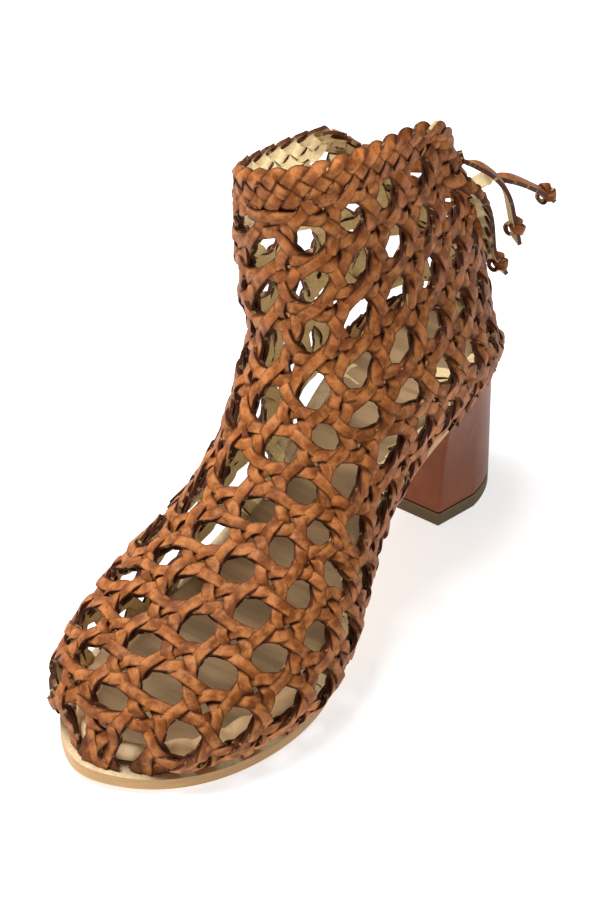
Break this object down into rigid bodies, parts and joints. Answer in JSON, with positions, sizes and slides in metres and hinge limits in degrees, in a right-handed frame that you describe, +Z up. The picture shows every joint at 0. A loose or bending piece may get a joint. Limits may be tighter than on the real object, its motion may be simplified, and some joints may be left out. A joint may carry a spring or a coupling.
{
  "type": "plaited leather ankle boot",
  "caption": "Hand-plaited open-weave leather ankle boot for the left foot, on a covered block heel, tied at the back with leather thongs.",
  "frame": {"origin": "middle of the heel's underside, on the floor", "axes": "+Z up, -Y toward the toe, +X to the outer side of this left shoe"},
  "size_m": [0.0997, 0.267, 0.1959],
  "materials": {
    "sole_leather": "matt edge",
    "suede": "suede",
    "heel_leather": "satin",
    "lift_rubber": "matt",
    "strip_leather": "satin grain, pale flesh side",
    "thong_leather": "satin grain, pale flesh side"
  },
  "bodies": {
    "root": {"outsole": "sole_leather", "footbed": "suede", "heel_block": "heel_leather", "top_lift": "lift_rubber", "upper": "strip_leather", "tie_bar_low": "thong_leather", "tie_bar_middle": "thong_leather", "tie_bar_high": "thong_leather", "tie_end_low_outer": "thong_leather", "tie_end_low_inner": "thong_leather", "tie_end_middle_outer": "thong_leather", "tie_end_middle_inner": "thong_leather", "tie_end_high_outer": "thong_leather", "tie_end_high_inner": "thong_leather"}
  },
  "joints": []
}
